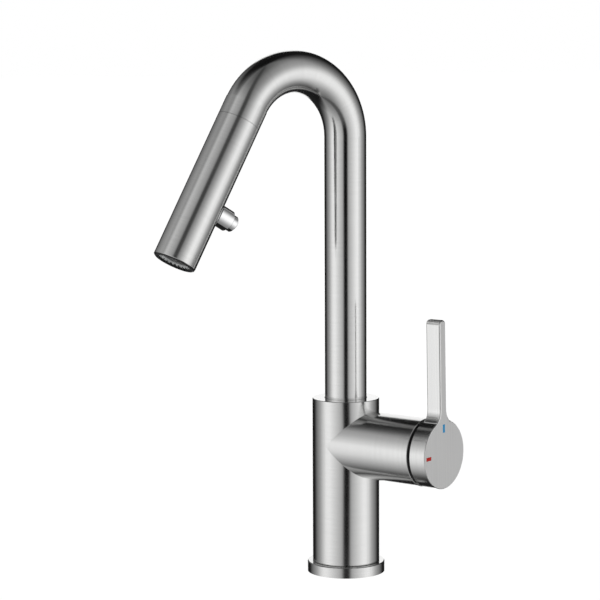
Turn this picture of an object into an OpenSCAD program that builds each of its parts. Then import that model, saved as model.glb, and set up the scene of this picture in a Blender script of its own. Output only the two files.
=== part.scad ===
// Pull-down kitchen faucet: a single-hole mixer with a side lever, a swinging
// high-arc spout and a spray head that pulls out of the spout on a hose.
// Origin: centre of the base on the deck. +Z up, the spout points along -Y.

/* [Spout] */
// Outer radius of the spout tube
tube_r = 14; // [12:0.5:16]
// Wall of the spout tube
tube_wall = 1.5; // [1:0.1:2]
// Radius of the tube's bend, at its centreline
bend_r = 43; // [36:1:60]
// Height of the bend's centre above the deck
bend_z = 293.5; // [250:0.5:340]
// Angle between the drop leg and the riser
leg_tilt = 30; // [20:1:40]
// Straight stub of tube after the bend
stub_len = 12; // [12:0.5:16]
// Height of the spout foot's lower end
foot_z = 86; // [86:0.5:88]

/* [Body] */
// Radius of the vertical body and of the side housing
body_r = 22.5; // [22:0.1:24]
// Height of the body's flat top
body_top = 118.3; // [116:0.1:124]
// Wall of the body round its lower bore
body_wall = 2.5; // [2:0.1:3]
// Radius of the body's bore round the spout's glide rings
glide_bore_r = 16.5; // [16.5:0.1:17]
// Clearance between the spout tube and the rim of the body's top
neck_gap = 0.35; // [0.3:0.05:0.5]

/* [Base] */
// Radius of the base ring
ring_r = 26; // [25:0.5:30]
// Thickness of the base ring
ring_h = 7.2; // [6:0.1:8]
// Radius of the circle that the base's ports and studs lie on
port_circle_r = 12; // [11.8:0.1:12.2]
// Wall radius of the threaded ports for the M8 hoses
port_r = 3.5; // [3.3:0.1:3.5]
// Wall radius of the tapped M6 stud holes
stud_hole_r = 2.5; // [2.2:0.1:2.6]

/* [Valve] */
// Height of the valve's axis above the deck
valve_z = 88; // [86:0.5:90]
// Turn of the side housing about the body, from +X towards +Y
handle_yaw = 15; // [0:1:30]
// Distance from the body's axis to the end of the side housing
housing_len = 66.3; // [66:0.1:68]
// Outer radius of the ceramic cartridge
cartridge_r = 17.4; // [17.2:0.1:17.5]
// Radius of the cartridge's stem
stem_r = 5; // [4:0.1:5.5]

/* [Handle] */
// Gap between the side housing and the hub
hub_gap = 2.2; // [1.2:0.1:2.4]
// Thickness of the hub
hub_len = 12; // [12:0.1:16]
// Width of the lever bar
lever_w = 6.8; // [5:0.1:9]
// Depth of the lever bar along the valve's axis
lever_d = 11; // [9:0.1:12]
// Height of the lever's end above the valve's axis
lever_h = 88.3; // [70:0.1:100]
// Radius of the fillets between the bar and the hub
fillet_r = 10; // [6:0.5:14]
// Lean of the lever at its closed stop, forward of upright
lever_lean = 1.5; // [0:0.1:3]
// Distance of the coloured marks from the valve's axis
mark_ring_r = 17.4; // [15:0.1:18]

/* [Spray head] */
// Outer radius of the spray head
head_r = 14.2; // [14:0.1:15]
// Wall of the spray head's shell
head_wall = 1.5; // [1.2:0.1:1.8]
// Length of the drop leg from the bend to the mouth
leg_len = 112.5; // [110:0.5:118]
// Seam between the spout and the docked head
seam = 0.1; // [0.1:0.05:0.5]
// Radius of the hose
hose_r = 5.5; // [5:0.1:5.5]
// Number of nozzles round the spray plate
nozzle_count = 20; // [12:1:24]

/* [Button] */
// Distance from the mouth back to the button's axis
button_back = 41.5; // [40:0.5:44]
// Outer radius of the button's collar
collar_r = 7.2; // [7:0.1:7.6]
// Distance from the leg's axis to the collar's outer face
collar_top = 23.7; // [23:0.1:26]
// Radius of the plunger
plunger_r = 5.6; // [5.4:0.1:5.7]
// Distance from the leg's axis to the plunger's face
plunger_top = 28.3; // [27.5:0.1:30]

/* [Hidden] */

$fn = 96;
eps = 0.01;          // overlap that joins or cuts cleanly
fit = 0.05;          // radial clearance of parts that slide into each other
run = 0.06;          // radial clearance of a turning fit
edge = 0.3;          // small broken edge on turned parts

steel = [0.74, 0.74, 0.73];
bright = [0.86, 0.86, 0.87];
brass = [0.80, 0.66, 0.34];
black = [0.10, 0.10, 0.11];
grey_plastic = [0.72, 0.73, 0.73];
white_plastic = [0.90, 0.90, 0.88];
ceramic = [0.93, 0.91, 0.86];
rubber = [0.14, 0.14, 0.14];

// The drop leg starts where the bend ends.
bend_angle = 180 - leg_tilt;
leg_y = -bend_r + bend_r * cos(bend_angle);
leg_z = bend_z + bend_r * sin(bend_angle);
tube_bore = tube_r - tube_wall;
head_bore = head_r - head_wall;
head_start = stub_len + seam;
socket_r = tube_bore + 0.3;      // bore of the spout's end sleeve

// The spout's foot: a bush with a spigot up inside the tube.
foot_top = foot_z + 13;
spigot_top = foot_top + 9;
groove_z = foot_z + 7.5;         // height of the groove that the screw keeps
groove_h = 3;
groove_r = tube_r - 1.6;
foot_bore = 8;
neck_z = body_top - 4.2;         // underside of the body's top wall
lower_bore_r = body_r - body_wall;
lower_bore_top = foot_z - 1;

// Ports on a circle round the hose, as angles from the side housing.
port_angles = [-52, 0, 52];      // cold, mixed, hot
stud_angles = [145, 215];
screw_angle = 120;
pipe_r = 3.45;
pipe_bore = 2.5;
plug_top = 20;
port_depth = 12;
inlet_top = valve_z - 14;        // upper ends of the pipes
outlet_top = valve_z - 18;

// Stations along the valve's axis.
block_start = glide_bore_r + 1;
seat_x = block_start + 10;
block_end = housing_len - 4.8;
cart_start = seat_x + 1;
disc_x = cart_start + 3.3;
disc_h = 3;
cart_end = cart_start + 23.5;
neck_end = cart_end + 8;
hub_x = housing_len + hub_gap;
hub_face = hub_x + hub_len;
inlet_xy = [5.8, -9.3];          // where the hot inlet meets the cartridge
outlet_y = -3.5;
valve_ports = [[-inlet_xy[0], inlet_xy[1]], [0, outlet_y], inlet_xy];
valve_port_r = 2.2;
riser_x = block_start + 4;       // the mixed water's way up inside the block

// Stations along the drop leg, from the end of the bend.
button_s = leg_len - button_back;
ferrule_s = 27;
ferrule_len = 15;
nut_s = ferrule_s + ferrule_len;
core_s = nut_s + 9;
core_end = leg_len - 15.5;
core_r = head_bore - 0.1;
mouth_s = leg_len - 5.5;         // where the shell opens for the nozzle ring
mouth_bore = head_r - 0.7;
plate_face = leg_len - 1.3;      // the spray plate's face, sunk in the mouth
lug_count = 24;
gasket_h = 0.5;
collar_neck_r = 6.2;
collar_bore = plunger_r + 0.08;
collar_floor = 14.5;
spool_r = 2.4;
land_r = 4.3;
cross_bore_r = land_r + 0.08;

// ---- frames ----

// The valve's axis: Z runs out along the housing, Y is up, X points back.
module valve_axis()
    rotate([0, 0, handle_yaw]) translate([0, 0, valve_z]) rotate([90, 0, 90]) children();

// The handle's own frame, leaning at its closed stop.
module handle_axis()
    valve_axis() rotate([0, 0, lever_lean]) children();

// The drop leg: Z runs down to the mouth, -Y faces the riser.
module leg_axis()
    translate([0, leg_y, leg_z]) rotate([180 - leg_tilt, 0, 0]) children();

// The button: Z runs out of the head towards the riser.
module button_axis()
    leg_axis() translate([0, 0, button_s]) rotate([90, 0, 0]) children();

// A place on the port circle, at an angle from the side housing.
module on_port_circle(angle)
    rotate([0, 0, handle_yaw + angle]) translate([port_circle_r, 0, 0]) children();

// ---- shapes ----

// A rod from z = start to z = end.
module rod(r, start, end)
    translate([0, 0, start]) cylinder(r = r, h = end - start);

// A pipe from z = start to z = end.
module pipe(r, bore, start, end)
    difference() {
        rod(r, start, end);
        rod(bore, start - 1, end + 1);
    }

// A rod whose two ends have broken edges.
module broken_rod(r, start, end, c = edge)
    rotate_extrude()
        polygon([[0, start], [r - c, start], [r, start + c],
                 [r, end - c], [r - c, end], [0, end]]);

// A pipe whose outer edges are broken.
module broken_pipe(r, bore, start, end, c = edge)
    difference() {
        broken_rod(r, start, end, c);
        rod(bore, start - 1, end + 1);
    }

// A round seal of cord radius c, lying at height z.
module seal_ring(r, c, z)
    translate([0, 0, z]) rotate_extrude() translate([r, 0]) circle(r = c, $fn = 32);

// A round bar that follows the spout's riser and bend.
module spout_run(r, start) {
    rod(r, start, bend_z);
    translate([0, -bend_r, bend_z]) rotate([90, 0, 90])
        rotate_extrude(angle = bend_angle) translate([bend_r, 0]) circle(r = r);
}

// A coil spring round Z.
module coil(r, wire, start, end, turns) {
    sides = 8;
    rings = turns * 14;
    points = [for (i = [0:rings]) let (a = 360 * turns * i / rings,
              z = start + wire + (end - start - 2 * wire) * i / rings)
              for (k = [0:sides - 1]) let (b = 360 * k / sides, q = r + wire * cos(b))
              [q * cos(a), q * sin(a), z + wire * sin(b)]];
    faces = concat(
        [[for (k = [0:sides - 1]) k]],
        [for (i = [0:rings - 1], k = [0:sides - 1]) let (n = (k + 1) % sides)
         [i * sides + k, (i + 1) * sides + k, (i + 1) * sides + n, i * sides + n]],
        [[for (k = [sides - 1:-1:0]) rings * sides + k]]);
    polyhedron(points, faces);
}

// ---- base and body ----

module base_ring() color(steel)
    difference() {
        rotate_extrude()
            polygon([[17.2, 0], [ring_r, 0], [ring_r, ring_h - 0.5],
                     [ring_r - 0.5, ring_h], [17.2, ring_h]]);
        pipe(24.5, 21.5, -eps, 2);
    }

module base_gasket() color(rubber)
    pipe(24.45, 21.55, 0, 1.95);

module base_plug() color(brass)
    difference() {
        union() {
            rod(17.1, 0.2, ring_h + 1);
            rod(lower_bore_r - fit, ring_h + 0.15, plug_top);
        }
        rod(7, -1, plug_top + 1);
        for (a = port_angles) on_port_circle(a) {
            rod(port_r, -1, port_depth);
            rod(pipe_bore, port_depth - 1, port_depth + 2);
            rod(pipe_r + fit, port_depth + 1, plug_top + 1);
        }
        for (a = stud_angles) on_port_circle(a) rod(stud_hole_r, -1, 14);
    }

module body_shell() color(steel)
    difference() {
        union() {
            rotate_extrude()
                polygon([[0, ring_h + 0.1], [body_r - 0.4, ring_h + 0.1], [body_r, ring_h + 0.5],
                         [body_r, body_top - edge], [body_r - edge, body_top], [0, body_top]]);
            valve_axis() rotate_extrude()
                polygon([[0, 0], [body_r, 0], [body_r, housing_len - edge],
                         [body_r - edge, housing_len], [0, housing_len]]);
        }
        rod(lower_bore_r, 0, lower_bore_top);
        rod(glide_bore_r, lower_bore_top - eps, neck_z);
        rod(tube_r + neck_gap, neck_z - eps, body_top + 1);
        valve_axis() rod(body_r - 2, block_start - 0.1, housing_len + 1);
        screw_axis() rod(2.5, glide_bore_r - 2, body_r + 1);
    }

// The swivel screw's own frame, in the back of the body: Z runs outwards.
module screw_axis()
    rotate([0, 0, handle_yaw + screw_angle]) translate([0, 0, groove_z])
        rotate([0, 90, 0]) children();

module hose_guide() color(black)
    rotate_extrude()
        polygon([[6, 0.4], [6.9, 0.4], [6.9, plug_top + 0.1], [8.4, plug_top + 0.1],
                 [8.4, plug_top + 2], [7, plug_top + 2.6], [6, plug_top + 1.6]]);

module water_pipe(angle, top) color(bright)
    on_port_circle(angle) pipe(pipe_r, pipe_bore, port_depth + 1.1, top);

module cold_inlet_tube() water_pipe(port_angles[0], inlet_top);
module outlet_tube() water_pipe(port_angles[1], outlet_top);
module hot_inlet_tube() water_pipe(port_angles[2], inlet_top);

// A cup for the cartridge, with a foot inside the body that takes the pipes.
module valve_block() color(brass)
    difference() {
        union() {
            valve_axis() rod(body_r - 2 - fit, block_start, block_end);
            intersection() {
                rod(lower_bore_r - 0.1, valve_z - 24, lower_bore_top - 0.2);
                rotate([0, 0, handle_yaw]) translate([2.5, -20, 0]) cube([16, 40, 90]);
            }
        }
        rod(7.2, 60, 90);
        valve_axis() rod(cartridge_r + 0.1, seat_x, block_end + 1);
        inlet_way(0);
        inlet_way(2);
        outlet_way();
    }

// The drilled way from an inlet pipe up and across to the cartridge's seat.
module inlet_way(i) {
    on_port_circle(port_angles[i]) {
        rod(pipe_r + fit, 60, inlet_top + 0.1);
        rod(pipe_bore, 60, valve_z + inlet_xy[1]);
    }
    valve_axis() {
        translate([(i - 1) * 8.2, inlet_xy[1], 0]) rod(pipe_bore, 5, seat_x - 5.5);
        translate(valve_ports[i]) rod(valve_port_r, seat_x - 6.5, seat_x + 1);
    }
}

// The way back from the seat, down inside the block and into the outlet pipe.
module outlet_way() {
    across_y = -15;
    on_port_circle(port_angles[1]) {
        rod(pipe_r + fit, 60, outlet_top + 0.1);
        rod(pipe_bore, 60, valve_z + across_y);
    }
    valve_axis() {
        translate([0, across_y, 0]) rod(pipe_bore, 9.5, riser_x + 2.5);
        translate([0, across_y, riser_x]) rotate([-90, 0, 0]) rod(2.3, 0, outlet_y - across_y);
        translate(valve_ports[1]) rod(valve_port_r, riser_x, seat_x + 1);
    }
}

module port_seals() color(rubber)
    valve_axis() for (p = valve_ports) translate([p[0], p[1], 0])
        pipe(3.6, 2.4, seat_x, cart_start);

module at_valve_ports()
    for (p = valve_ports) translate([p[0], p[1], 0]) children();

module cartridge_base() color(black)
    valve_axis() difference() {
        rod(cartridge_r, cart_start, disc_x - fit);
        at_valve_ports() rod(valve_port_r, cart_start - 1, disc_x + 1);
    }

module cartridge_housing() color(white_plastic)
    valve_axis() difference() {
        union() {
            rod(cartridge_r, disc_x, cart_end);
            rod(8.5, cart_end - eps, neck_end);
        }
        rod(15.2, disc_x - 1, cart_end - 3);
        rod(stem_r + run, disc_x, neck_end + 1);
    }

module fixed_disc() color(ceramic)
    valve_axis() difference() {
        rod(15, disc_x + 0.1, disc_x + 0.1 + disc_h);
        at_valve_ports() rod(valve_port_r, disc_x, disc_x + disc_h + 1);
    }

module retaining_nut() color(brass)
    valve_axis() difference() {
        rod(cartridge_r, cart_end + 0.1, block_end - 1);
        rod(9, cart_end, block_end);
        for (a = [0:90:270]) rotate([0, 0, a])
            translate([13.5, -1.5, block_end - 4]) cube([6, 3, 5]);
    }

module handle_glide_ring() color(black)
    valve_axis() pipe(body_r - 2.1, 9, block_end + 0.1, hub_x - 0.1);

module glide(start, end) color(white_plastic)
    pipe(glide_bore_r - fit, tube_r + run, start, end);

module upper_glide() glide(neck_z - 9.5, neck_z - 0.1);
module lower_glide() glide(foot_z - 0.8, groove_z - groove_h / 2 - 0.8);

// A grub screw whose dog point runs in the groove of the spout's foot.
module swivel_screw() color(bright)
    screw_axis() difference() {
        union() {
            rod(1.1, groove_r + 0.4, glide_bore_r + 0.2);
            rod(2.45, glide_bore_r + 0.1, body_r - 0.4);
        }
        translate([0, 0, body_r - 3]) cylinder(r = 1.45, h = 4, $fn = 6);
    }

// ---- spout ----

// The bent tube, with a straight sleeve on its end as wide as the spray head.
module spout_tube() color(steel)
    difference() {
        union() {
            spout_run(tube_r, foot_top);
            leg_axis() rod(head_r, -0.5, stub_len);
        }
        spout_run(tube_bore, foot_top - 1);
        leg_axis() rod(socket_r, -0.5, stub_len + 1);
    }

module spout_foot() color(brass)
    rotate_extrude()
        polygon([[foot_bore, foot_z], [tube_r, foot_z],
                 [tube_r, groove_z - groove_h / 2], [groove_r, groove_z - groove_h / 2],
                 [groove_r, groove_z + groove_h / 2], [tube_r, groove_z + groove_h / 2],
                 [tube_r, foot_top - fit], [tube_bore - fit, foot_top - fit],
                 [tube_bore - fit, spigot_top], [foot_bore, spigot_top]]);

// The plastic socket in the spout's end that the head docks into.
module dock_socket() color(black)
    leg_axis() rotate_extrude()
        polygon([[9.7, 3], [socket_r - fit, 3], [socket_r - fit, stub_len - 0.1],
                 [10.6, stub_len - 0.1], [9.7, stub_len - 1.2]]);

// The pull-out hose, lying in the middle of the spout down to its tail.
module hose() color(rubber) {
    spout_run(hose_r, 16);
    leg_axis() rod(hose_r + 0.1, -0.5, nut_s - 1);
}

module hose_tail() color(brass)
    difference() {
        union() {
            broken_rod(hose_r, 8, 15.9);
            broken_rod(4.6, 0.4, 8.2);
        }
        rod(3, 0, 17);
    }

// ---- handle ----

// The outline of the hub and the lever, seen along the valve's axis.
module lever_fillet() {
    half = lever_w / 2;
    side = half + fillet_r;
    rise = sqrt(pow(body_r + fillet_r, 2) - pow(side, 2));
    touch = body_r / (body_r + fillet_r);
    difference() {
        polygon([[0, 0], [side * touch, rise * touch], [side, rise], [0, rise]]);
        translate([side, rise]) circle(r = fillet_r);
    }
}

module lever_bar() {
    round_r = 2.6;
    half = lever_w / 2;
    difference() {
        translate([-half, 0]) square([lever_w, lever_h]);
        for (s = [-1, 1]) translate([s * (half - round_r), lever_h - round_r])
            difference() {
                translate([s > 0 ? 0 : -round_r - 1, 0]) square([round_r + 1, round_r + 1]);
                circle(r = round_r);
            }
    }
}

module mark_block(angle, w, h, depth)
    rotate([0, 0, angle]) translate([-w / 2, mark_ring_r - h / 2, hub_face - depth])
        cube([w, h, depth + (depth > 0.3 ? 1 : 0.05)]);

module handle() color(steel)
    handle_axis() difference() {
        union() {
            rotate_extrude()
                polygon([[0, hub_x], [body_r - edge, hub_x], [body_r, hub_x + edge],
                         [body_r, hub_face - edge], [body_r - edge, hub_face], [0, hub_face]]);
            translate([0, 0, hub_face - lever_d]) linear_extrude(lever_d) {
                lever_bar();
                lever_fillet();
                mirror([1, 0]) lever_fillet();
            }
        }
        rod(stem_r - 0.5 + fit, hub_x - 1, hub_face - 5);
        translate([0, 0, hub_x + 4.5]) rotate([90, 0, 0]) rod(2.55, 2, body_r + 1);
        mark_block(0, 2.4, 5.4, 0.35);
        mark_block(90, 2.4, 5.4, 0.35);
    }

module stem() color(brass)
    handle_axis() difference() {
        union() {
            rod(9, disc_x + 2 * disc_h + 5.2, disc_x + 2 * disc_h + 8);
            rod(stem_r, disc_x + 2 * disc_h + 7.9, neck_end + 1);
            rod(stem_r - 0.5, neck_end, hub_face - 5.2);
        }
        pipe(stem_r + 1, stem_r - 1.4, neck_end - 3.8, neck_end - 2.2);
    }

module stem_seal() color(rubber)
    handle_axis() seal_ring(stem_r - 0.7, 0.68, neck_end - 3);

module disc_carrier() color(black)
    handle_axis() rod(13, disc_x + 2 * disc_h + 0.3, disc_x + 2 * disc_h + 5.1);

// The upper disc. Its round pocket always covers the outlet, and its lobe
// passes over the cold inlet and then the hot one as the lever comes forward.
module moving_disc() color(ceramic)
    handle_axis() difference() {
        rod(14.9, disc_x + disc_h + 0.2, disc_x + 2 * disc_h + 0.2);
        rod(7, disc_x, disc_x + disc_h + 1.6);
        translate([0, 0, disc_x]) rotate([0, 0, 176]) rotate_extrude(angle = 48)
            square([13.4, disc_h + 1.5]);
    }

module handle_screw() color(bright)
    handle_axis() translate([0, 0, hub_x + 4.5]) rotate([90, 0, 0]) difference() {
        rod(2.5, stem_r - 0.4, stem_r + 9.6);
        translate([0, 0, stem_r + 7]) cylinder(r = 1.45, h = 4, $fn = 6);
    }

module screw_plug() color(grey_plastic)
    handle_axis() translate([0, 0, hub_x + 4.5]) rotate([90, 0, 0])
        rod(2.5, body_r - 3, body_r - 0.25);

module cold_mark() color([0.22, 0.59, 0.80])
    handle_axis() mark_block(0, 2.3, 5.3, 0.3);

module hot_mark() color([0.71, 0.16, 0.11])
    handle_axis() mark_block(90, 2.3, 5.3, 0.3);

// ---- spray head ----

module head_shell() color(steel)
    leg_axis() difference() {
        rotate_extrude()
            polygon([[head_bore, head_start], [head_r - 0.1, head_start],
                     [head_r, head_start + 0.1], [head_r, leg_len - edge],
                     [head_r - edge, leg_len], [mouth_bore, leg_len],
                     [mouth_bore, mouth_s], [head_bore, mouth_s]]);
        translate([0, 0, button_s]) rotate([90, 0, 0]) rod(collar_neck_r + 0.1, 5, 20);
    }

// The nose that centres the head in the spout's socket.
module docking_nose() color(black)
    leg_axis() rotate_extrude()
        polygon([[7.7, 5], [8.6, 5], [9.3, 6.5], [9.3, head_start + 0.2],
                 [head_bore - fit, head_start + 0.2], [head_bore - fit, 25], [7.7, 25]]);

module hose_ferrule() color(bright)
    leg_axis() pipe(7.2, hose_r + 0.15, ferrule_s, nut_s);

module hose_nut() color(brass)
    leg_axis() difference() {
        union() {
            translate([0, 0, nut_s]) cylinder(r = 9.2, h = 7, $fn = 6);
            rod(6.6, nut_s + 6.9, nut_s + 17);
        }
        rod(3.4, nut_s - 1, nut_s + 18);
    }

module inlet_washer() color(rubber)
    leg_axis() pipe(6.6, 3.4, nut_s + 17.1, nut_s + 18.4);

// The moulded waterway inside the head, from the hose to the two outlets.
module spray_core() color(grey_plastic)
    leg_axis() difference() {
        rod(core_r, core_s, core_end);
        rod(6.7, core_s - 1, nut_s + 18.5);
        rod(4.2, nut_s + 18.4, button_s);
        translate([0, 3.5, 0]) rod(2.2, button_s, core_end + 1);
        translate([0, -4, 0]) rod(2.2, button_s, core_end + 1);
        translate([0, 0, button_s]) rotate([90, 0, 0]) rod(cross_bore_r, -9, 16);
        translate([0, 0, button_s]) rotate([90, 0, 0]) rod(collar_neck_r + 0.1, 10.9, 16);
        for (z = [core_s + 3, core_end - 4])
            pipe(core_r + 1, core_r - 0.9, z, z + 1.7);
    }

module core_seals() color(rubber)
    leg_axis() for (z = [core_s + 3, core_end - 4])
        seal_ring(core_r - 0.41, 0.48, z + 0.85);

// A spring-loaded non-return valve at the head's inlet.
module check_valve() color(white_plastic)
    leg_axis() difference() {
        rod(4.1, nut_s + 18.6, button_s - 5);
        rod(2.4, nut_s + 20, button_s - 4);
    }

module collar_gasket() color(rubber)
    button_axis() difference() {
        rod(collar_r + 0.1, 8, 16);
        rod(collar_neck_r + 0.1, 7, 17);
        saddle(head_r);
        difference() {
            rod(collar_r + 5, 7, 17);
            saddle(head_r + gasket_h);
        }
    }

// The drop leg as a round bar of radius r, in the button's frame.
module saddle(r)
    rotate([90, 0, 0]) rod(r, -20, 20);

module button_collar() color(bright)
    button_axis() difference() {
        union() {
            difference() {
                broken_rod(collar_r, 8, collar_top, 0.6);
                saddle(head_r + gasket_h);
            }
            rod(collar_neck_r, 11.1, 16);
        }
        rod(spool_r + 0.1, 10, 16);
        rod(collar_bore, collar_floor, collar_top + 1);
    }

module button_plunger() color(bright)
    button_axis() difference() {
        broken_rod(plunger_r, collar_floor + 2.8, plunger_top, 0.5);
        rod(4.7, collar_floor, plunger_top - 5.8);
    }

// The rod that the plunger pushes, with three lands in the core's cross bore.
module diverter_spool() color(brass)
    button_axis() {
        rod(spool_r, -6, plunger_top - 5.9);
        for (z = [-6, 0.5, 6.5]) pipe_land(z);
    }

module pipe_land(z)
    difference() {
        rod(land_r, z, z + 3);
        pipe(land_r + 1, land_r - 0.9, z + 1, z + 2);
    }

module spool_seals() color(rubber)
    button_axis() for (z = [-6, 0.5, 6.5]) seal_ring(land_r - 0.43, 0.45, z + 1.5);

module button_spring() color(bright)
    button_axis() coil(3.6, 0.35, collar_floor, plunger_top - 5.85, 6);

// The black ring that clamps the outlet parts into the mouth. Slots round its
// bore hold the spray plate's lugs.
module nozzle_ring() color(black)
    leg_axis() difference() {
        rotate_extrude()
            polygon([[11.2, mouth_s - 5], [head_bore - fit, mouth_s - 5],
                     [head_bore - fit, mouth_s + 0.1], [mouth_bore - 0.1, mouth_s + 0.1],
                     [mouth_bore - 0.1, leg_len + 0.2], [mouth_bore - 0.5, leg_len + 0.6],
                     [11.2, leg_len + 0.6]]);
        for (i = [0:lug_count - 1]) rotate([0, 0, 360 * i / lug_count])
            translate([10.5, -0.8, plate_face - 1.1]) cube([1.7, 1.6, 4]);
    }

// The light ring with the nozzles of the spray, round the aerator. Its lugs stand
// up a little in the black ring's slots.
module spray_plate() color(grey_plastic)
    leg_axis() difference() {
        union() {
            rod(11.1, core_end + 0.1, plate_face);
            for (i = [0:lug_count - 1]) rotate([0, 0, 360 * i / lug_count])
                translate([10.2, -0.7, plate_face - 1]) cube([1.9, 1.4, 1.5]);
        }
        rod(8.6, core_end, leg_len + 1);
        for (i = [0:nozzle_count - 1]) rotate([0, 0, 360 * i / nozzle_count])
            translate([9.4, 0, 0]) rod(0.5, core_end, leg_len + 1);
    }

module aerator() color(white_plastic)
    leg_axis() pipe(8.5, 5, core_end + 0.1, plate_face - 1.5);

module aerator_mesh() color([0.35, 0.35, 0.36])
    leg_axis() difference() {
        rod(8.5, plate_face - 1.4, plate_face - 0.6);
        for (ix = [-4:4], iy = [-4:4]) if (norm([ix, iy]) < 4.6)
            translate([1.7 * ix - 0.6, 1.7 * iy - 0.6, plate_face - 2.5]) cube([1.2, 1.2, 3]);
    }

base_ring();
base_gasket();
base_plug();
body_shell();
hose_guide();
cold_inlet_tube();
hot_inlet_tube();
outlet_tube();
valve_block();
port_seals();
cartridge_base();
cartridge_housing();
fixed_disc();
retaining_nut();
handle_glide_ring();
upper_glide();
lower_glide();
swivel_screw();
spout_tube();
spout_foot();
dock_socket();
hose();
hose_tail();
handle();
stem();
disc_carrier();
moving_disc();
stem_seal();
handle_screw();
screw_plug();
cold_mark();
hot_mark();
head_shell();
docking_nose();
hose_ferrule();
hose_nut();
inlet_washer();
check_valve();
spray_core();
core_seals();
collar_gasket();
button_collar();
nozzle_ring();
spray_plate();
aerator();
aerator_mesh();
button_plunger();
diverter_spool();
spool_seals();
button_spring();
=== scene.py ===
import math

import bpy
from mathutils import Matrix, Vector


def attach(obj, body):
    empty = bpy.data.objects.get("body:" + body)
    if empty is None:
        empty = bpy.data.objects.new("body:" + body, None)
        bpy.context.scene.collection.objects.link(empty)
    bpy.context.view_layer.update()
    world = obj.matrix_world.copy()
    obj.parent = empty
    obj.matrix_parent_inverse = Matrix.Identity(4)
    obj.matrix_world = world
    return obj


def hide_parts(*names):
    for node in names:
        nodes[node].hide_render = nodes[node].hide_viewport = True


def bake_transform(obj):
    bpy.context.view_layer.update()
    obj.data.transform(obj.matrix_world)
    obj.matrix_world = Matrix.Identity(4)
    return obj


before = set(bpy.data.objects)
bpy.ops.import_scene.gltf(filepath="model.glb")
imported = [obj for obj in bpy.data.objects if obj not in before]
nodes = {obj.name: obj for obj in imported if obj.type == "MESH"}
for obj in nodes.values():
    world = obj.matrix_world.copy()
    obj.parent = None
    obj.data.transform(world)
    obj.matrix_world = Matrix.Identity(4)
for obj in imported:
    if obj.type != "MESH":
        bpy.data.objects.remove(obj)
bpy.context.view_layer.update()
bpy.ops.object.select_all(action="DESELECT")


# ---- Base ring ----
# A stainless ring that stands on the worktop and covers the hole. It is turned from
# bar, and a fine belt held against it while it spins leaves lines that run round it.
fine_relief = 0.00002
belt_lines = 1700.0
belt_run = 55.0


def new_finish(name):
    finish = bpy.data.materials.new(name)
    finish.use_nodes = True
    finish.node_tree.nodes.clear()
    return finish, finish.node_tree


def add(tree, kind, **values):
    """A node with its settings and socket values; a socket as a value is wired in."""
    made = tree.nodes.new(kind)
    for key, value in values.items():
        if hasattr(made, key):
            setattr(made, key, value)
        else:
            wire(tree, value, made, key.replace("_", " "))
    return made


def wire(tree, value, made, socket):
    """A value put on a socket, or a link where the value is another node's output."""
    if isinstance(value, bpy.types.NodeSocket):
        tree.links.new(value, made.inputs[socket])
    else:
        made.inputs[socket].default_value = value


def sums(tree, operation, *values, kind="ShaderNodeMath", answer="Value"):
    """The answer of one step of arithmetic."""
    made = add(tree, kind, operation=operation)
    for place, value in enumerate(values):
        wire(tree, value, made, place)
    return made.outputs[answer]


def shifts(tree, operation, *values):
    """The answer of one step of arithmetic on vectors."""
    return sums(tree, operation, *values, kind="ShaderNodeVectorMath", answer="Vector")


def along(tree, spot, direction):
    """How far a spot lies along a direction."""
    return sums(tree, "DOT_PRODUCT", spot, direction, kind="ShaderNodeVectorMath")


def between(tree, value, low, high, to_low=0.0, to_high=1.0):
    """A value from low to high mapped onto another range, and held at its ends."""
    made = add(tree, "ShaderNodeMapRange", Value=value)
    for socket, number in zip(("From Min", "From Max", "To Min", "To Max"),
                              (low, high, to_low, to_high)):
        wire(tree, number, made, socket)
    return made.outputs["Result"]


def mixed(tree, factor, a, b, data_type="RGBA", blend_type="MIX"):
    """Two colours or two numbers mixed by a factor."""
    made = add(tree, "ShaderNodeMix", data_type=data_type, blend_type=blend_type)
    live = [s for s in made.inputs if s.enabled]
    for socket, value in zip(live, (factor, a, b)):
        if isinstance(value, bpy.types.NodeSocket):
            tree.links.new(value, socket)
        else:
            socket.default_value = value
    return next(s for s in made.outputs if s.enabled)


def finished(tree, shader):
    out = add(tree, "ShaderNodeOutputMaterial")
    tree.links.new(shader.outputs["BSDF"], out.inputs["Surface"])


def brushed_steel(name, step, colour=(0.74, 0.74, 0.735, 1), roughness=0.14, streaks=0.05):
    """Belt-finished steel. step gives how far a spot lies across the belt's lines."""
    finish, tree = new_finish(name)
    spot = add(tree, "ShaderNodeTexCoord").outputs["Object"]
    across = add(tree, "ShaderNodeCombineXYZ",
                 Z=sums(tree, "MULTIPLY", step(tree, spot), belt_lines))
    lines = shifts(tree, "ADD", shifts(tree, "MULTIPLY", spot, (belt_run, belt_run, belt_run)),
                   across.outputs["Vector"])
    grain = add(tree, "ShaderNodeTexNoise", Vector=lines, Scale=1.0, Detail=5.0,
                Roughness=0.65).outputs["Fac"]
    cloud = add(tree, "ShaderNodeTexNoise", Vector=spot, Scale=26.0, Detail=2.0).outputs["Fac"]
    tone = between(tree, grain, 0.3, 0.7, 1 - streaks, 1 + streaks / 2)
    bump = add(tree, "ShaderNodeBump", Strength=0.05, Distance=fine_relief, Height=grain)
    steel = add(tree, "ShaderNodeBsdfPrincipled", Metallic=1.0,
                Base_Color=mixed(tree, 1.0, colour, tone, blend_type="MULTIPLY"),
                Roughness=between(tree, cloud, 0.25, 0.75, roughness - 0.03, roughness + 0.04),
                Normal=bump.outputs["Normal"])
    finished(tree, steel)
    return finish


def coat(finish, *names):
    """The finish put on CAD nodes in place of their plain colour."""
    for name in names:
        nodes[name].data.materials.clear()
        nodes[name].data.materials.append(finish)


turned_upright = brushed_steel("turned_upright", lambda tree, spot: along(tree, spot, (0, 0, 1)))
coat(turned_upright, "base_ring")


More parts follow.
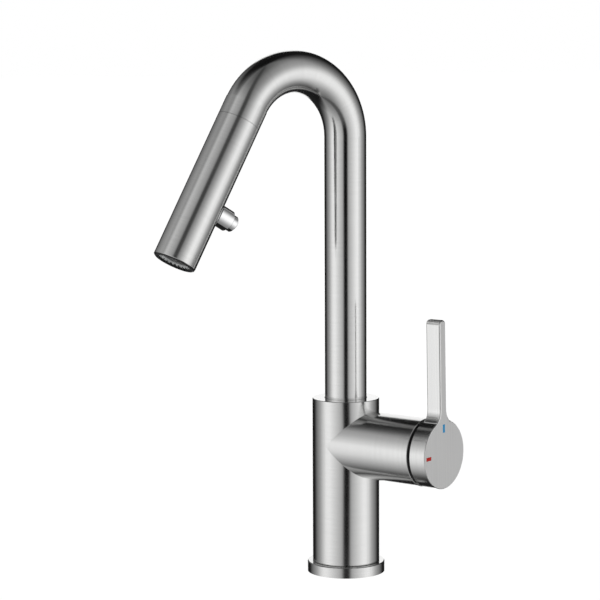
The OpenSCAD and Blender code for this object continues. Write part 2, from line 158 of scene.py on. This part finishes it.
# ---- Base gasket and seals ----
# Black moulded rubber: the flat gasket under the ring keeps splashes out of the hole,
# and small rings seal the pipes, the stem, the spray core and its spool.
def moulded(name, colour, roughness, grain_scale, grain_depth, shift=0.06, sheen=0.0):
    """Moulded rubber or plastic with a fine grain and a slightly uneven colour."""
    finish, tree = new_finish(name)
    spot = add(tree, "ShaderNodeTexCoord").outputs["Object"]
    cloud = add(tree, "ShaderNodeTexNoise", Vector=spot, Scale=140.0, Detail=3.0).outputs["Fac"]
    grain = add(tree, "ShaderNodeTexNoise", Vector=spot, Scale=grain_scale,
                Detail=2.0).outputs["Fac"]
    bump = add(tree, "ShaderNodeBump", Strength=0.35, Distance=grain_depth, Height=grain)
    tone = between(tree, cloud, 0.3, 0.7, 1 - shift, 1 + shift)
    body = add(tree, "ShaderNodeBsdfPrincipled",
               Base_Color=mixed(tree, 1.0, colour, tone, blend_type="MULTIPLY"),
               Roughness=between(tree, grain, 0.3, 0.7, roughness - 0.05, roughness + 0.06),
               Normal=bump.outputs["Normal"])
    body.inputs["Sheen Weight"].default_value = sheen
    finished(tree, body)
    return finish


soft_rubber = moulded("soft_rubber", (0.018, 0.018, 0.019, 1), 0.62, 2600.0, 0.00003, sheen=0.15)
coat(soft_rubber, "base_gasket", "port_seals", "stem_seal", "inlet_washer", "core_seals",
     "collar_gasket", "spool_seals")


# ---- Brass parts ----
# The plug in the foot, the valve block, the spout's foot, the nuts, the stem and the
# spool are turned from brass bar and left as cut, with a little tarnish.
def bare_metal(name, colour, roughness, tarnish):
    """Metal as cut: fine tool lines and a cloudy tarnish."""
    finish, tree = new_finish(name)
    spot = add(tree, "ShaderNodeTexCoord").outputs["Object"]
    cloud = add(tree, "ShaderNodeTexNoise", Vector=spot, Scale=60.0, Detail=4.0).outputs["Fac"]
    grain = add(tree, "ShaderNodeTexNoise", Vector=spot, Scale=900.0, Detail=3.0).outputs["Fac"]
    bump = add(tree, "ShaderNodeBump", Strength=0.12, Distance=fine_relief, Height=grain)
    metal = add(tree, "ShaderNodeBsdfPrincipled", Metallic=1.0,
                Base_Color=mixed(tree, between(tree, cloud, 0.35, 0.7), colour, tarnish),
                Roughness=between(tree, cloud, 0.3, 0.7, roughness - 0.03, roughness + 0.08),
                Normal=bump.outputs["Normal"])
    finished(tree, metal)
    return finish


cut_brass = bare_metal("cut_brass", (0.80, 0.60, 0.30, 1), 0.26, (0.68, 0.49, 0.24, 1))
coat(cut_brass, "base_plug", "valve_block", "retaining_nut", "spout_foot", "hose_tail", "stem",
     "hose_nut", "diverter_spool")


# ---- Body and side housing ----
# Two stainless tubes of one width, mitred into each other, welded and belted: the
# lines run round the upright one, and past the mitre round the level one.
body_radius = 0.0225
proud_by = 0.00005
valve_turn = math.radians(15)
outward = Vector((math.cos(valve_turn), math.sin(valve_turn), 0))
backward = Vector((-math.sin(valve_turn), math.cos(valve_turn), 0))


def across_body(tree, spot):
    """Up the upright tube, and out along the level one wherever that stands proud."""
    reach = sums(tree, "LENGTH", shifts(tree, "MULTIPLY", spot, (1, 1, 0)),
                 kind="ShaderNodeVectorMath")
    on_housing = sums(tree, "GREATER_THAN", reach, body_radius + proud_by)
    return mixed(tree, on_housing, along(tree, spot, (0, 0, 1)), along(tree, spot, outward),
                 data_type="FLOAT")


coat(brushed_steel("turned_body", across_body), "body_shell")


# ---- Pipes, screws and ferrule ----
# Thin stainless pipes carry the water up from the plug, and small stainless screws
# hold the spout and the handle. They are bright drawn and never brushed.
bright_steel = bare_metal("bright_steel", (0.80, 0.80, 0.79, 1), 0.17, (0.70, 0.70, 0.70, 1))
coat(bright_steel, "cold_inlet_tube", "hot_inlet_tube", "outlet_tube", "swivel_screw",
     "handle_screw", "hose_ferrule")


# ---- Black plastic parts ----
# Glass-filled plastic, moulded black: the hose guide, the cartridge's base and disc
# carrier, the ring that the handle glides on, the docking socket and nose, and the
# ring that clamps the mouth.
black_plastic = moulded("black_plastic", (0.013, 0.013, 0.014, 1), 0.38, 3800.0, 0.00001)
coat(black_plastic, "hose_guide", "cartridge_base", "disc_carrier", "handle_glide_ring",
     "dock_socket", "docking_nose", "nozzle_ring")


# ---- White plastic parts ----
# Slippery white acetal: the cartridge's housing, the two glides that the spout turns
# in, the non-return valve and the aerator's body.
white_plastic = moulded("white_plastic", (0.80, 0.80, 0.77, 1), 0.33, 2400.0, 0.00001, 0.02)
coat(white_plastic, "cartridge_housing", "upper_glide", "lower_glide", "check_valve", "aerator")


# ---- Ceramic discs ----
# Two discs of fired ceramic, lapped so flat that they seal on each other. One stands
# still on the cartridge's base, and the stem turns the other.
fired_ceramic = moulded("fired_ceramic", (0.86, 0.83, 0.76, 1), 0.16, 5200.0, 0.000003, 0.04)
coat(fired_ceramic, "fixed_disc", "moving_disc")


# ---- Spout ----
# One drawn stainless tube, bent over and belted along its whole run, so the lines
# run round it even in the bend. A wider sleeve on its end takes the spray head.
bend_radius = 0.043
bend_height = 0.2935
bend_turn = math.radians(150)
bend_end = Vector((0, bend_radius * (math.cos(bend_turn) - 1),
                   bend_height + bend_radius * math.sin(bend_turn)))
down_leg = Vector((0, -math.sin(bend_turn), math.cos(bend_turn)))


def across_spout(tree, spot):
    """The way along the tube's run: up the riser, round the bend and down the leg."""
    parts = add(tree, "ShaderNodeSeparateXYZ", Vector=spot)
    out = sums(tree, "ADD", parts.outputs["Y"], bend_radius)
    rise = sums(tree, "SUBTRACT", parts.outputs["Z"], bend_height)
    angle = sums(tree, "ARCTAN2", rise, out)
    angle = sums(tree, "WRAP", angle, 1.5 * math.pi, -0.5 * math.pi)
    round_bend = sums(tree, "MULTIPLY", between(tree, angle, 0, bend_turn, 0, bend_turn),
                      bend_radius)
    up_riser = sums(tree, "MULTIPLY", sums(tree, "MINIMUM", rise, 0.0),
                    sums(tree, "GREATER_THAN", out, 0.0))
    from_end = shifts(tree, "SUBTRACT", spot, bend_end)
    down = sums(tree, "MAXIMUM", along(tree, from_end, down_leg), 0.0)
    past = sums(tree, "MULTIPLY", down, sums(tree, "LESS_THAN", out, 0.0))
    return sums(tree, "ADD", sums(tree, "ADD", round_bend, up_riser), past)


coat(brushed_steel("belted_spout", across_spout), "spout_tube")


# ---- Pull-out hose ----
# A nylon hose in a woven sleeve of grey yarn. One length lies still in the riser and
# the bend. The other is in the leg, clamped to the head, and the head draws it out.
hose_radius = 0.0055
hose_low = 0.016
hose_high = 0.041
pull = 0.24
hose_sides = 24
riser_steps = 30
bend_steps = 48
weave_round = 12
weld = 0.000001


def woven_yarn():
    """Two sets of grey yarns that wind round the hose both ways, over and under, with painted shade
    darkening the crevices between the strands.
    """
    finish, tree = new_finish("woven_yarn")
    weave = add(tree, "ShaderNodeUVMap").outputs["UV"]
    parts = add(tree, "ShaderNodeSeparateXYZ", Vector=weave)
    turns = sums(tree, "MULTIPLY", parts.outputs["X"], weave_round)
    rise = sums(tree, "MULTIPLY", parts.outputs["Y"], weave_round / (2 * math.pi * hose_radius))
    strands = []
    for way in ("ADD", "SUBTRACT"):
        lane = sums(tree, "FRACT", sums(tree, way, turns, rise))
        strands.append(sums(tree, "SINE", sums(tree, "MULTIPLY", lane, math.pi)))
    over = sums(tree, "GREATER_THAN", strands[0], strands[1])
    height = sums(tree, "MAXIMUM", strands[0], strands[1])
    spot = add(tree, "ShaderNodeTexCoord").outputs["Object"]
    fibre = add(tree, "ShaderNodeTexNoise", Vector=spot, Scale=2500.0, Detail=3.0).outputs["Fac"]
    bump = add(tree, "ShaderNodeBump", Strength=0.8, Distance=0.0004,
               Height=sums(tree, "ADD", height, sums(tree, "MULTIPLY", fibre, 0.15)))
    shade = mixed(tree, over, (0.30, 0.30, 0.31, 1), (0.17, 0.17, 0.18, 1))
    # painted shade: the yarn colour darkens where the strands dip, in the crevices between them
    crevice_shade = between(tree, height, 0.55, 0.95, 0.35, 1.1)
    yarn = add(tree, "ShaderNodeBsdfPrincipled", Normal=bump.outputs["Normal"],
               Base_Color=mixed(tree, 1.0, shade, crevice_shade, blend_type="MULTIPLY"),
               Roughness=between(tree, fibre, 0.3, 0.7, 0.42, 0.6))
    yarn.inputs["Sheen Weight"].default_value = 0.2
    finished(tree, yarn)
    return finish


def weave_onto(piece, length_of, side_of):
    """A UV map that goes once round the hose and runs along it in metres."""
    mesh = piece.data
    layer = mesh.uv_layers.new(name="weave")
    for face in mesh.polygons:
        spots = [mesh.vertices[mesh.loops[loop].vertex_index].co for loop in face.loop_indices]
        turns = [(math.atan2(side_of(spot), spot.x) / (2 * math.pi)) % 1 for spot in spots]
        if max(turns) - min(turns) > 0.5:
            turns = [turn + 1 if turn < 0.5 else turn for turn in turns]
        for loop, spot, turn in zip(face.loop_indices, spots, turns):
            layer.data[loop].uv = (turn, length_of(spot))


def close_ends(piece):
    """Both open ends filled, and every face turned outwards."""
    bpy.ops.mesh.select_all(action="SELECT")
    bpy.ops.mesh.remove_doubles(threshold=weld)
    bpy.ops.mesh.select_all(action="DESELECT")
    bpy.ops.mesh.select_non_manifold()
    bpy.ops.mesh.fill_holes(sides=0)
    bpy.ops.mesh.select_all(action="SELECT")
    bpy.ops.mesh.normals_make_consistent(inside=False)
    bpy.ops.object.mode_set(mode="OBJECT")
    bpy.ops.object.shade_smooth_by_angle(angle=math.radians(40))


def hose_ring(name, centre, tilt):
    """The first ring of a length of hose, ready in edit mode to be extruded."""
    bpy.ops.object.select_all(action="DESELECT")
    bpy.ops.mesh.primitive_circle_add(vertices=hose_sides, radius=hose_radius, location=centre,
                                      rotation=(tilt, 0, 0), fill_type="NOTHING")
    piece = bpy.context.object
    piece.name = name
    bpy.ops.object.transform_apply(location=True, rotation=True, scale=True)
    bpy.ops.object.mode_set(mode="EDIT")
    bpy.ops.mesh.select_all(action="SELECT")
    return piece


yarn = woven_yarn()
still_hose = hose_ring("hose_in_riser", (0, 0, hose_low), 0)
for _ in range(riser_steps):
    bpy.ops.mesh.extrude_region_move(TRANSFORM_OT_translate={
        "value": (0, 0, (bend_height - hose_low) / riser_steps)})
bpy.ops.mesh.spin(steps=bend_steps, angle=bend_turn, center=(0, -bend_radius, bend_height),
                  axis=(-1, 0, 0))
close_ends(still_hose)


def run_of_riser(spot):
    """How far along the still hose a spot lies, from the foot of the bend."""
    if spot.z < bend_height and spot.y > -bend_radius:
        return spot.z - bend_height
    return bend_radius * (math.atan2(spot.z - bend_height, spot.y + bend_radius) % (2 * math.pi))


def side_of_riser(spot):
    """How far a spot lies to the outer side of the still hose's middle line."""
    if spot.z < bend_height and spot.y > -bend_radius:
        return spot.y
    return math.hypot(spot.z - bend_height, spot.y + bend_radius) - bend_radius


weave_onto(still_hose, run_of_riser, side_of_riser)
still_hose.data.materials.append(yarn)
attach(still_hose, "spout")
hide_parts("hose")

leg_side = Vector((0, math.cos(bend_turn), math.sin(bend_turn)))
drawn_hose = hose_ring("hose_in_leg", bend_end, bend_turn)
bpy.ops.mesh.extrude_region_move(TRANSFORM_OT_translate={"value": down_leg * hose_high})
close_ends(drawn_hose)
weave_stretch = (hose_high + pull) / hose_high
weave_onto(drawn_hose, lambda spot: (spot - bend_end).dot(down_leg) * weave_stretch,
           lambda spot: (spot - bend_end).dot(leg_side))
drawn_hose.data.materials.append(yarn)
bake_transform(drawn_hose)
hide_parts("hose")


# ---- Handle ----
# The hub and its flat lever are cut from one piece of stainless steel. The hub's side
# is belted as it spins, its face and the lever's sides are belted along the lever, and
# every edge of the lever is eased by hand.
hub_face = 0.0805
valve_height = 0.088
valve_spot = Vector((0, 0, valve_height))
lever_ease = 0.0011
ease_steps = 6


def across_lever(tree, spot):
    return along(tree, spot, outward + backward)


def across_housing(tree, spot):
    return along(tree, spot, outward)


def copy_of(node, name):
    """A new piece with a copy of a CAD node's mesh, its doubled points merged."""
    piece = bpy.data.objects.new(name, nodes[node].data.copy())
    bpy.context.scene.collection.objects.link(piece)
    bpy.ops.object.select_all(action="DESELECT")
    bpy.context.view_layer.objects.active = piece
    piece.select_set(True)
    bpy.ops.object.mode_set(mode="EDIT")
    bpy.ops.mesh.select_all(action="SELECT")
    bpy.ops.mesh.remove_doubles(threshold=weld)
    bpy.ops.object.mode_set(mode="OBJECT")
    return piece


lever = copy_of("handle", "hub_and_lever")
lever_mesh = lever.data
bpy.ops.mesh.customdata_custom_splitnormals_clear()
bpy.ops.object.mode_set(mode="EDIT")
bpy.ops.mesh.select_all(action="SELECT")
bpy.ops.mesh.dissolve_limited(angle_limit=math.radians(0.2))
bpy.ops.mesh.select_all(action="DESELECT")
bpy.ops.object.mode_set(mode="OBJECT")


def from_valve(spot):
    """A spot's way out along the valve, and its distance from the valve's axis."""
    arm = Vector(spot) - valve_spot
    out = arm.dot(outward)
    return out, (arm - outward * out).length


faces_of = {}
for face in lever_mesh.polygons:
    for key in face.edge_keys:
        faces_of.setdefault(key, []).append(face)
for edge in lever_mesh.edges:
    pair = faces_of.get(edge.key, [])
    ends = [from_valve(lever_mesh.vertices[v].co) for v in edge.vertices]
    crisp = len(pair) == 2 and pair[0].normal.angle(pair[1].normal) > math.radians(35)
    edge.select = crisp and all(reach > body_radius + 0.0004 for out, reach in ends)
bpy.ops.object.mode_set(mode="EDIT")
bpy.ops.mesh.select_mode(type="EDGE")
bpy.ops.mesh.bevel(offset=lever_ease, segments=ease_steps, affect="EDGES",
                   clamp_overlap=False)
bpy.ops.object.mode_set(mode="OBJECT")
bpy.ops.object.shade_smooth_by_angle(angle=math.radians(32))
bpy.ops.object.modifier_add(type="WEIGHTED_NORMAL")
lever.modifiers[-1].keep_sharp = True
bpy.ops.object.modifier_apply(modifier=lever.modifiers[-1].name)
belted_hub = brushed_steel("belted_hub", across_housing)
# painted light: one steel in lit copies, the lever's sides painted a little lighter and the hub's
# face much lighter than the hub's side
lever_painted_light = brushed_steel("lever_painted_light", across_lever, colour=(0.78, 0.78, 0.775, 1),
                             roughness=0.15)
hub_face_painted_light = brushed_steel("hub_face_painted_light", across_lever, colour=(0.99, 0.99, 0.985, 1),
                            roughness=0.48)
lever_mesh.materials.clear()
for finish in (belted_hub, lever_painted_light, hub_face_painted_light):
    lever_mesh.materials.append(finish)
for face in lever_mesh.polygons:
    out, reach = from_valve(face.center)
    on_face = face.normal.dot(outward) > 0.9 and out > hub_face - 0.001
    on_lever = reach > body_radius + 0.0002
    face.material_index = 2 if on_face else 1 if on_lever else 0
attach(lever, "handle")
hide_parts("handle")


# ---- Grey plastic parts ----
# A small cap hides the handle's screw under the hub. The core carries water through
# the spray head, and the plate with the spray's small holes closes its mouth.
grey_plastic = moulded("grey_plastic", (0.46, 0.47, 0.47, 1), 0.42, 3200.0, 0.00001)
coat(grey_plastic, "screw_plug", "spray_plate", "spray_core")


# ---- Cold and hot marks ----
# Two small bars of enamel, one blue and one red, filled into slots in the hub's face
# and wiped level with it.
def enamel(name, colour):
    finish, tree = new_finish(name)
    spot = add(tree, "ShaderNodeTexCoord").outputs["Object"]
    flow = add(tree, "ShaderNodeTexNoise", Vector=spot, Scale=900.0, Detail=2.0).outputs["Fac"]
    bump = add(tree, "ShaderNodeBump", Strength=0.2, Distance=fine_relief, Height=flow)
    paint = add(tree, "ShaderNodeBsdfPrincipled", Normal=bump.outputs["Normal"],
                Base_Color=mixed(tree, 1.0, colour, between(tree, flow, 0.3, 0.7, 0.9, 1.08),
                                 blend_type="MULTIPLY"),
                Roughness=between(tree, flow, 0.3, 0.7, 0.4, 0.5))
    paint.inputs["Specular IOR Level"].default_value = 0.25
    finished(tree, paint)
    return finish


coat(enamel("blue_enamel", (0.03, 0.30, 0.60, 1)), "cold_mark")
coat(enamel("red_enamel", (0.50, 0.012, 0.006, 1)), "hot_mark")


# ---- Spray head ----
# The head is a stainless tube a hair wider than the spout, belted round, with its
# rim rolled in a little at the mouth.
def across_leg(tree, spot):
    return along(tree, spot, down_leg)


coat(brushed_steel("belted_head", across_leg), "head_shell")


# ---- Screen in the mouth ----
# The stream leaves the spray head through a fine screen of woven steel wire, in the
# middle of the plate that the black ring clamps.
screen_wires = 1600.0


def steel_screen():
    finish, tree = new_finish("steel_screen")
    spot = add(tree, "ShaderNodeTexCoord").outputs["Object"]
    wires = []
    for direction in (Vector((1, 0, 0)), leg_side):
        place = sums(tree, "MULTIPLY", along(tree, spot, direction), screen_wires)
        lane = sums(tree, "FRACT", place)
        wires.append(sums(tree, "SINE", sums(tree, "MULTIPLY", lane, math.pi)))
    height = sums(tree, "MAXIMUM", wires[0], wires[1])
    bump = add(tree, "ShaderNodeBump", Strength=0.7, Distance=0.0002, Height=height)
    screen = add(tree, "ShaderNodeBsdfPrincipled", Metallic=0.8, Normal=bump.outputs["Normal"],
                 # painted shade: near black in the gaps between the wires, fading to the wire's
                 # grey on their crests
                 Base_Color=mixed(tree, height, (0.03, 0.03, 0.03, 1), (0.42, 0.42, 0.42, 1)),
                 Roughness=between(tree, height, 0.2, 1.0, 0.55, 0.3))
    finished(tree, screen)
    return finish


coat(steel_screen(), "aerator_mesh")


# ---- Spray button ----
# A chromed collar welded to the back of the head, and a chromed button in it that
# a thumb pushes to change from stream to spray.
def bright_chrome():
    finish, tree = new_finish("bright_chrome")
    spot = add(tree, "ShaderNodeTexCoord").outputs["Object"]
    haze = add(tree, "ShaderNodeTexNoise", Vector=spot, Scale=220.0, Detail=4.0).outputs["Fac"]
    bump = add(tree, "ShaderNodeBump", Strength=0.03, Distance=fine_relief, Height=haze)
    chrome = add(tree, "ShaderNodeBsdfPrincipled", Metallic=1.0, Normal=bump.outputs["Normal"],
                 Base_Color=mixed(tree, haze, (0.90, 0.91, 0.92, 1), (0.96, 0.96, 0.96, 1)),
                 Roughness=between(tree, haze, 0.3, 0.7, 0.04, 0.09))
    finished(tree, chrome)
    return finish


coat(bright_chrome(), "button_collar", "button_plunger")


# ---- Button spring ----
# A small coil of stainless wire that pushes the button back out. Its inner end stands
# on the collar's floor, its outer end moves with the button.
coil = copy_of("button_spring", "button_coil")
coil.data.materials.clear()
coil.data.materials.append(bright_steel)
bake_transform(coil)
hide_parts("button_spring")


# ---- Camera ----
# The view is from the front right, a little above the worktop, with a long lens that
# stands well back.
azimuth, pitch, roll = (math.radians(v) for v in (53.5, 6.40, -0.253))
aim_height = 0.18424
aim_left = 0.030494
camera_distance = 1.4588
lens_length = 130.8
toward = Vector((math.sin(azimuth) * math.cos(pitch), -math.cos(azimuth) * math.cos(pitch),
                 math.sin(pitch)))
right = Vector((math.cos(azimuth), math.sin(azimuth), 0))
up = toward.cross(right)
aim = Vector((0, 0, aim_height)) - aim_left * right
camera = bpy.data.objects.new("camera", bpy.data.cameras.new("camera"))
bpy.context.scene.collection.objects.link(camera)
camera.data.sensor_width = 36
camera.data.lens = lens_length
tilted_right = right * math.cos(roll) + up * math.sin(roll)
tilted_up = up * math.cos(roll) - right * math.sin(roll)
camera.matrix_world = (Matrix.Translation(aim + camera_distance * toward)
                       @ Matrix((tilted_right, tilted_up, toward)).transposed().to_4x4())
bpy.context.scene.camera = camera


# ---- Worktop ----
# A plain white worktop that runs out past the view. It is lit so evenly that the
# faucet throws no shadow to be seen on it.
bpy.ops.object.select_all(action="DESELECT")
bpy.ops.mesh.primitive_plane_add(size=60, location=(0, 0, 0))
worktop = bpy.context.object
worktop.name = "worktop"
finish, tree = new_finish("pale_worktop")
matte = add(tree, "ShaderNodeBsdfPrincipled", Roughness=0.9)
matte.inputs["Base Color"].default_value = (0.25, 0.25, 0.25, 1)
matte.inputs["Emission Color"].default_value = (1, 1, 1, 1)
matte.inputs["Emission Strength"].default_value = 0.95
finished(tree, matte)
worktop.data.materials.append(finish)
worktop.visible_glossy = False


# ---- Studio light ----
# Two tall soft panels stand left and right of the camera, with a narrow dark gap
# between them, a dim room behind, and a white backdrop far behind the faucet.
steel_tint = 0.74
room = bpy.data.worlds.new("studio")
bpy.context.scene.world = room
room.use_nodes = True
tree = room.node_tree
tree.nodes.clear()
outlook = add(tree, "ShaderNodeTexCoord").outputs["Generated"]
facing = add(tree, "ShaderNodeMapping", Vector=outlook)
facing.inputs["Rotation"].default_value = (0, 0, math.radians(90) - azimuth)
split = add(tree, "ShaderNodeSeparateXYZ", Vector=facing.outputs["Vector"])
gap_lean = sums(tree, "MULTIPLY", sums(tree, "MAXIMUM", split.outputs["Z"], 0.0), 0.17)
around = sums(tree, "SUBTRACT", sums(tree, "ARCTAN2", split.outputs["Y"], split.outputs["X"]),
              gap_lean)
turned = sums(tree, "DIVIDE", sums(tree, "ABSOLUTE", around), math.pi)
height = between(tree, split.outputs["Z"], -1.0, 1.0)


def fade(value, stops):
    """Brightness that changes along a value from 0 to 1."""
    made = add(tree, "ShaderNodeValToRGB", Fac=value)
    scale = made.color_ramp
    scale.elements.remove(scale.elements[-1])
    scale.elements[0].position = stops[0][0]
    scale.elements[0].color = (stops[0][1],) * 3 + (1,)
    for place, level in stops[1:]:
        scale.elements.new(place).color = (level,) * 3 + (1,)
    return made.outputs["Color"]


def by_turn(*stops):
    return fade(turned, [(angle / 180, level) for angle, level in stops])


def by_height(*stops):
    return fade(height, [((math.sin(math.radians(angle)) + 1) / 2, level)
                         for angle, level in stops])


panels = by_turn(*[(angle, level / steel_tint) for angle, level in (
    (0, 0.0), (7, 0.01), (10, 0.10), (13, 0.27), (17, 0.37), (24, 0.45), (35, 0.56), (50, 0.71),
    (60, 0.81), (69, 0.82), (76, 0.77), (83, 0.67), (90, 0.51), (98, 0.37), (106, 0.28),
    (114, 0.21), (122, 0.14), (130, 0.06), (138, 0.01))])
left_near = by_height((-90, 0.12), (-60, 0.27), (-50, 0.38), (-40, 0.52), (-30, 0.68), (-20, 0.85),
                      (-10, 0.98), (1, 1.0), (10, 0.90), (20, 0.76), (30, 0.64), (40, 0.56),
                      (50, 0.36), (62, 0.17), (90, 0.06))
left_far = by_height((-90, 0.10), (-60, 0.25), (-50, 0.48), (-42, 0.52), (-35, 0.57), (-27, 0.66),
                     (-18, 0.83), (-10, 0.98), (1, 1.0), (7, 0.84), (13, 0.68), (21, 0.50),
                     (29, 0.36), (36, 0.29), (43, 0.24), (50, 0.18), (58, 0.10), (90, 0.04))
right_fall = by_height((-90, 0.12), (-60, 0.27), (-50, 0.40), (-40, 0.56), (-30, 0.73), (-20, 0.90),
                       (-10, 1.0), (1, 1.0), (10, 0.84), (20, 0.56), (30, 0.38), (40, 0.30),
                       (50, 0.25), (62, 0.17), (90, 0.08))
left_fall = mixed(tree, between(tree, around, -1.48, -1.20), left_far, left_near)
fall = mixed(tree, between(tree, around, -0.25, 0.25), left_fall, right_fall)
lit = mixed(tree, 1.0, panels, fall, blend_type="MULTIPLY")
glimmer = mixed(tree, 1.0, by_turn((0, 0.1), (85, 0.1), (115, 0.01)),
                by_height((-90, 1.0), (-25, 1.0), (-12, 0.0), (8, 0.0), (28, 0.6), (50, 0.7),
                          (90, 0.5)), blend_type="MULTIPLY")
backdrop = mixed(tree, 1.0, by_turn((167, 0.0), (172, 1.1)),
                 by_height((-31, 0.0), (-27, 1.0), (32, 1.0), (36, 0.0)), blend_type="MULTIPLY")
far_wall = mixed(tree, 1.0, by_turn((76, 0.0), (86, 0.14), (96, 0.25), (115, 0.25), (135, 0.22),
                                    (150, 0.16), (166, 0.0)),
                 by_height((4, 0.0), (16, 1.0), (36, 1.0), (43, 0.4), (49, 0.0)),
                 blend_type="MULTIPLY")
far_wall = mixed(tree, between(tree, around, -0.2, 0.2), far_wall, (0, 0, 0, 1))
light = lit
for share in (glimmer, backdrop, far_wall):
    light = mixed(tree, 1.0, light, share, blend_type="ADD")
light = mixed(tree, add(tree, "ShaderNodeLightPath").outputs["Is Camera Ray"], light,
              (1, 1, 1, 1))
glow = add(tree, "ShaderNodeBackground", Color=light, Strength=1.0)
out = add(tree, "ShaderNodeOutputWorld")
tree.links.new(glow.outputs["Background"], out.inputs["Surface"])
bpy.context.scene.view_settings.view_transform = "Standard"
